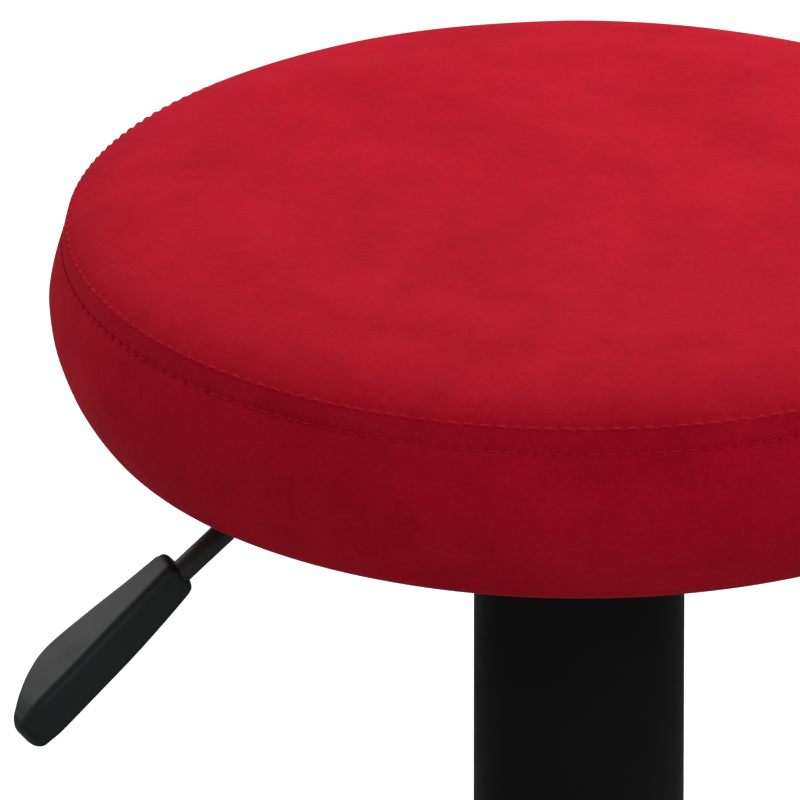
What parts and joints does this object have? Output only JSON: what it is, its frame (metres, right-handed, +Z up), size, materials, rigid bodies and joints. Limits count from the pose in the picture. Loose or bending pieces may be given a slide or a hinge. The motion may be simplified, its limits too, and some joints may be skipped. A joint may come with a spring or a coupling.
{
  "type": "adjustable swivel stool",
  "caption": "Round padded velvet stool seat on a gas lift with telescopic covers, a side release lever and a star base on twin-wheel casters.",
  "frame": {"origin": "on the floor, on the axis of the gas lift", "axes": "+Z up along the lift; the lever points towards -X and a little towards -Y"},
  "size_m": [0.4738, 0.4834, 0.48],
  "materials": {
    "velvet": "matte",
    "foam": "matte",
    "plywood": "satin",
    "lining_cloth": "matte",
    "staple_wire": "satin",
    "zinc_steel": "satin",
    "black_steel": "satin",
    "chromed_rod": "polished",
    "seal_rubber": "matte",
    "aluminium": "satin",
    "bearing_nylon": "satin",
    "cover_plastic": "satin",
    "handle_plastic": "satin",
    "base_nylon": "satin",
    "hood_nylon": "satin",
    "wheel_nylon": "satin",
    "caster_steel": "satin"
  },
  "bodies": {
    "base": {"base_hub": "base_nylon", "base_legs": "base_nylon", "lift_stand_tube": "black_steel", "lift_guide_bush": "bearing_nylon", "lift_bearing_lower_washer": "zinc_steel", "lower_cover": "cover_plastic"},
    "piston": {"lift_piston_rod": "chromed_rod", "lift_piston_head": "aluminium", "lift_piston_seal": "seal_rubber", "lift_bearing_upper_washer": "zinc_steel", "lift_bearing_caged_balls": "zinc_steel", "lift_bump_stop": "seal_rubber", "lift_rod_clip": "zinc_steel"},
    "middle_cover": {"middle_cover": "cover_plastic"},
    "seat": {"seat_foam": "foam", "seat_top_panel": "velvet", "seat_side_band": "velvet", "seat_board": "plywood", "seat_dust_cloth": "lining_cloth", "seat_staples": "staple_wire", "seat_tee_nuts": "zinc_steel", "seat_plate": "black_steel", "seat_plate_bolts": "zinc_steel", "seat_plate_washers": "zinc_steel", "lift_taper_hub": "black_steel", "lever_bracket": "black_steel", "lever_pivot_pin": "zinc_steel", "lift_cylinder": "black_steel", "lift_valve_block": "aluminium", "lift_rod_guide": "bearing_nylon", "lift_rod_seal": "seal_rubber", "upper_cover": "cover_plastic"},
    "lever": {"lever_rod": "black_steel", "lever_paddle": "handle_plastic"},
    "release_button": {"lift_release_button": "chromed_rod"},
    "caster_1": {"caster_1_stem": "caster_steel", "caster_1_hood": "hood_nylon", "caster_1_axle": "caster_steel"},
    "caster_1_left_wheel_body": {"caster_1_left_wheel": "wheel_nylon"},
    "caster_1_right_wheel_body": {"caster_1_right_wheel": "wheel_nylon"},
    "caster_2": {"caster_2_stem": "caster_steel", "caster_2_hood": "hood_nylon", "caster_2_axle": "caster_steel"},
    "caster_2_left_wheel_body": {"caster_2_left_wheel": "wheel_nylon"},
    "caster_2_right_wheel_body": {"caster_2_right_wheel": "wheel_nylon"},
    "caster_3": {"caster_3_stem": "caster_steel", "caster_3_hood": "hood_nylon", "caster_3_axle": "caster_steel"},
    "caster_3_left_wheel_body": {"caster_3_left_wheel": "wheel_nylon"},
    "caster_3_right_wheel_body": {"caster_3_right_wheel": "wheel_nylon"},
    "caster_4": {"caster_4_stem": "caster_steel", "caster_4_hood": "hood_nylon", "caster_4_axle": "caster_steel"},
    "caster_4_left_wheel_body": {"caster_4_left_wheel": "wheel_nylon"},
    "caster_4_right_wheel_body": {"caster_4_right_wheel": "wheel_nylon"},
    "caster_5": {"caster_5_stem": "caster_steel", "caster_5_hood": "hood_nylon", "caster_5_axle": "caster_steel"},
    "caster_5_left_wheel_body": {"caster_5_left_wheel": "wheel_nylon"},
    "caster_5_right_wheel_body": {"caster_5_right_wheel": "wheel_nylon"}
  },
  "joints": [
    {"name": "seat_swivel", "type": "hinge", "parent": "base", "child": "piston", "pos_m": [0, 0, 0.069], "axis": [0, 0, 1], "continuous": true},
    {"name": "seat_lift", "type": "slide", "parent": "piston", "child": "seat", "axis": [0, 0, 1], "range_m": [-0.06, 0.06]},
    {"name": "middle_cover_slide", "type": "slide", "parent": "base", "child": "middle_cover", "axis": [0, 0, 1], "range_m": [-0.031, 0.031]},
    {"name": "lever_lift", "type": "hinge", "parent": "seat", "child": "lever", "pos_m": [-0.02914, -0.01549, 0.3914], "axis": [-0.4695, 0.8829, 0], "range_deg": [0, 3.5]},
    {"name": "button_press", "type": "slide", "parent": "seat", "child": "release_button", "axis": [0, 0, -1], "range_m": [0, 0.0021]},
    {"name": "caster_1_swivel", "type": "hinge", "parent": "base", "child": "caster_1", "pos_m": [0, 0.22, 0.07], "axis": [0, 0, 1], "continuous": true},
    {"name": "caster_1_left_roll", "type": "hinge", "parent": "caster_1", "child": "caster_1_left_wheel_body", "pos_m": [0.01813, 0.22845, 0.025], "axis": [0.4226, -0.9063, 0], "continuous": true},
    {"name": "caster_1_right_roll", "type": "hinge", "parent": "caster_1", "child": "caster_1_right_wheel_body", "pos_m": [0.01813, 0.22845, 0.025], "axis": [0.4226, -0.9063, 0], "continuous": true},
    {"name": "caster_2_swivel", "type": "hinge", "parent": "base", "child": "caster_2", "pos_m": [-0.20923, 0.06798, 0.07], "axis": [0, 0, 1], "continuous": true},
    {"name": "caster_2_left_roll", "type": "hinge", "parent": "caster_2", "child": "caster_2_left_wheel_body", "pos_m": [-0.21607, 0.04919, 0.025], "axis": [-0.9397, 0.342, 0], "continuous": true},
    {"name": "caster_2_right_roll", "type": "hinge", "parent": "caster_2", "child": "caster_2_right_wheel_body", "pos_m": [-0.21607, 0.04919, 0.025], "axis": [-0.9397, 0.342, 0], "continuous": true},
    {"name": "caster_3_swivel", "type": "hinge", "parent": "base", "child": "caster_3", "pos_m": [-0.12931, -0.17798, 0.07], "axis": [0, 0, 1], "continuous": true},
    {"name": "caster_3_left_roll", "type": "hinge", "parent": "caster_3", "child": "caster_3_left_wheel_body", "pos_m": [-0.14418, -0.1646, 0.025], "axis": [0.6691, 0.7431, 0], "continuous": true},
    {"name": "caster_3_right_roll", "type": "hinge", "parent": "caster_3", "child": "caster_3_right_wheel_body", "pos_m": [-0.14418, -0.1646, 0.025], "axis": [0.6691, 0.7431, 0], "continuous": true},
    {"name": "caster_4_swivel", "type": "hinge", "parent": "base", "child": "caster_4", "pos_m": [0.12931, -0.17798, 0.07], "axis": [0, 0, 1], "continuous": true},
    {"name": "caster_4_left_roll", "type": "hinge", "parent": "caster_4", "child": "caster_4_left_wheel_body", "pos_m": [0.14663, -0.18798, 0.025], "axis": [-0.5, -0.866, 0], "continuous": true},
    {"name": "caster_4_right_roll", "type": "hinge", "parent": "caster_4", "child": "caster_4_right_wheel_body", "pos_m": [0.14663, -0.18798, 0.025], "axis": [-0.5, -0.866, 0], "continuous": true},
    {"name": "caster_5_swivel", "type": "hinge", "parent": "base", "child": "caster_5", "pos_m": [0.20923, 0.06798, 0.07], "axis": [0, 0, 1], "continuous": true},
    {"name": "caster_5_left_roll", "type": "hinge", "parent": "caster_5", "child": "caster_5_left_wheel_body", "pos_m": [0.19096, 0.05985, 0.025], "axis": [-0.4067, 0.9135, 0], "continuous": true},
    {"name": "caster_5_right_roll", "type": "hinge", "parent": "caster_5", "child": "caster_5_right_wheel_body", "pos_m": [0.19096, 0.05985, 0.025], "axis": [-0.4067, 0.9135, 0], "continuous": true}
  ],
  "couplings": [
    {"joint": "middle_cover_slide", "follows": "seat_lift", "ratio": 0.5},
    {"joint": "button_press", "follows": "lever_lift", "m_per_rad": 0.033}
  ]
}
